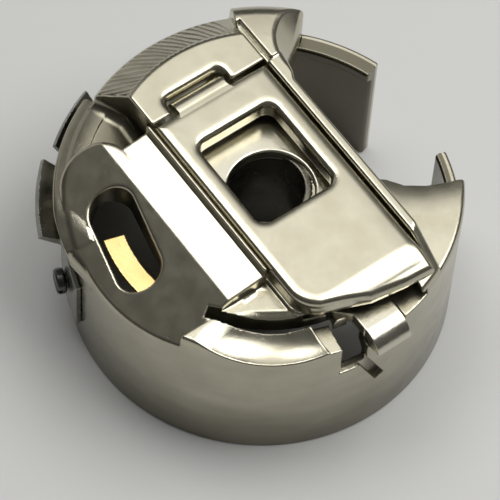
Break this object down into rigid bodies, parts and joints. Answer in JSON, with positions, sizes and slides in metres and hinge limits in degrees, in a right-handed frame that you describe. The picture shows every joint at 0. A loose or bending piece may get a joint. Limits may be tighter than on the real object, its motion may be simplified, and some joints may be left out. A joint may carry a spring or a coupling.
{
  "type": "bobbin case",
  "caption": "Round metal bobbin case with a hinged latch, sliding lock plate, slotted pad and tension spring, for a rotary hook.",
  "frame": {"origin": "centre of the stud bore at the open rim, which is the plane the case stands on", "axes": "+Z along the case axis from the open rim to the face, +X along the latch from its hinge to its free end, +Y to the side whose wall is cut away"},
  "size_m": [0.0269, 0.0253, 0.014],
  "materials": {
    "nickel": "polished nickel plate with light wear",
    "bright_nickel": "bright nickel plate",
    "dark_nickel": "darker nickel plate",
    "dark_steel": "blackened steel",
    "bronze": "bright spring bronze"
  },
  "bodies": {
    "case": {"case_body": "nickel", "centre_tube": "bright_nickel", "anti_spin_spring": "bronze", "tension_spring": "dark_nickel", "fixing_screw": "dark_steel", "slide_spring": "dark_steel"},
    "slide": {"slide_plate": "bright_nickel", "hinge_pin": "dark_steel"},
    "latch": {"latch_lever": "nickel"},
    "screw": {"tension_screw": "dark_steel"}
  },
  "joints": [
    {"name": "slide_travel", "type": "slide", "parent": "case", "child": "slide", "axis": [-1, 0, 0], "range_m": [0, 0.00055], "deforming": ["slide_spring"]},
    {"name": "latch_hinge", "type": "hinge", "parent": "slide", "child": "latch", "pos_m": [-0.005, 0, 0.01305], "axis": [0, -1, 0], "range_deg": [0, 75]},
    {"name": "tension_screw_turn", "type": "hinge", "parent": "case", "child": "screw", "pos_m": [-0.00462, -0.01204, 0.0048], "axis": [-0.3584, -0.9336, 0], "range_deg": [-180, 180]}
  ],
  "couplings": [
    {"joint": "latch_hinge", "follows": "slide_travel", "rad_per_m": 2380}
  ]
}
